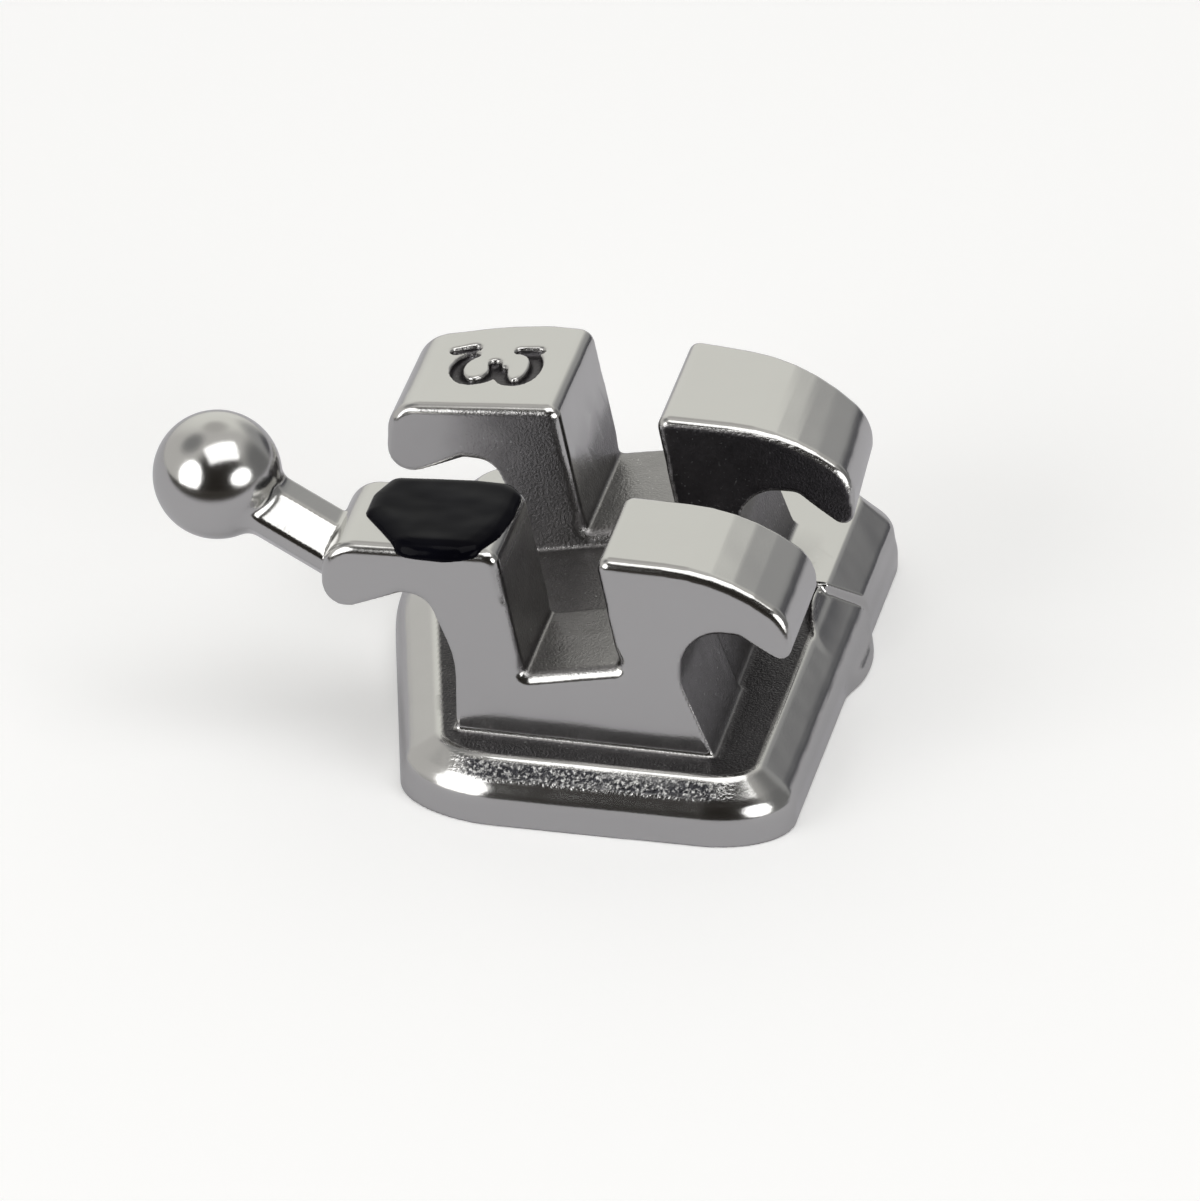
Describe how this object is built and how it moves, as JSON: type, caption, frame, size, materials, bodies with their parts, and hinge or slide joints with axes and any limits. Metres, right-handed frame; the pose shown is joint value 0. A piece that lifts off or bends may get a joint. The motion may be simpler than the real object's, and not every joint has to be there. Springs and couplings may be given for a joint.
{
  "type": "orthodontic bracket",
  "caption": "Twin orthodontic bracket of polished steel with paired tie wings, a tilted rectangular archwire slot, a flanged bonding pad and an integral ball hook.",
  "frame": {"origin": "on the bonding side, at the middle of its stud field, under the archwire slot", "axes": "+X across the slot, away from the ball hook; +Y along the slot, from the marked wing to the numbered one; +Z away from the tooth"},
  "size_m": [0.0039, 0.0037, 0.002],
  "materials": {
    "polished_steel": "tumbled and polished stainless steel, grainy in the recesses",
    "black_enamel": "glossy black identification enamel"
  },
  "bodies": {
    "root": {"bracket": "polished_steel", "id_mark": "black_enamel"}
  },
  "joints": []
}
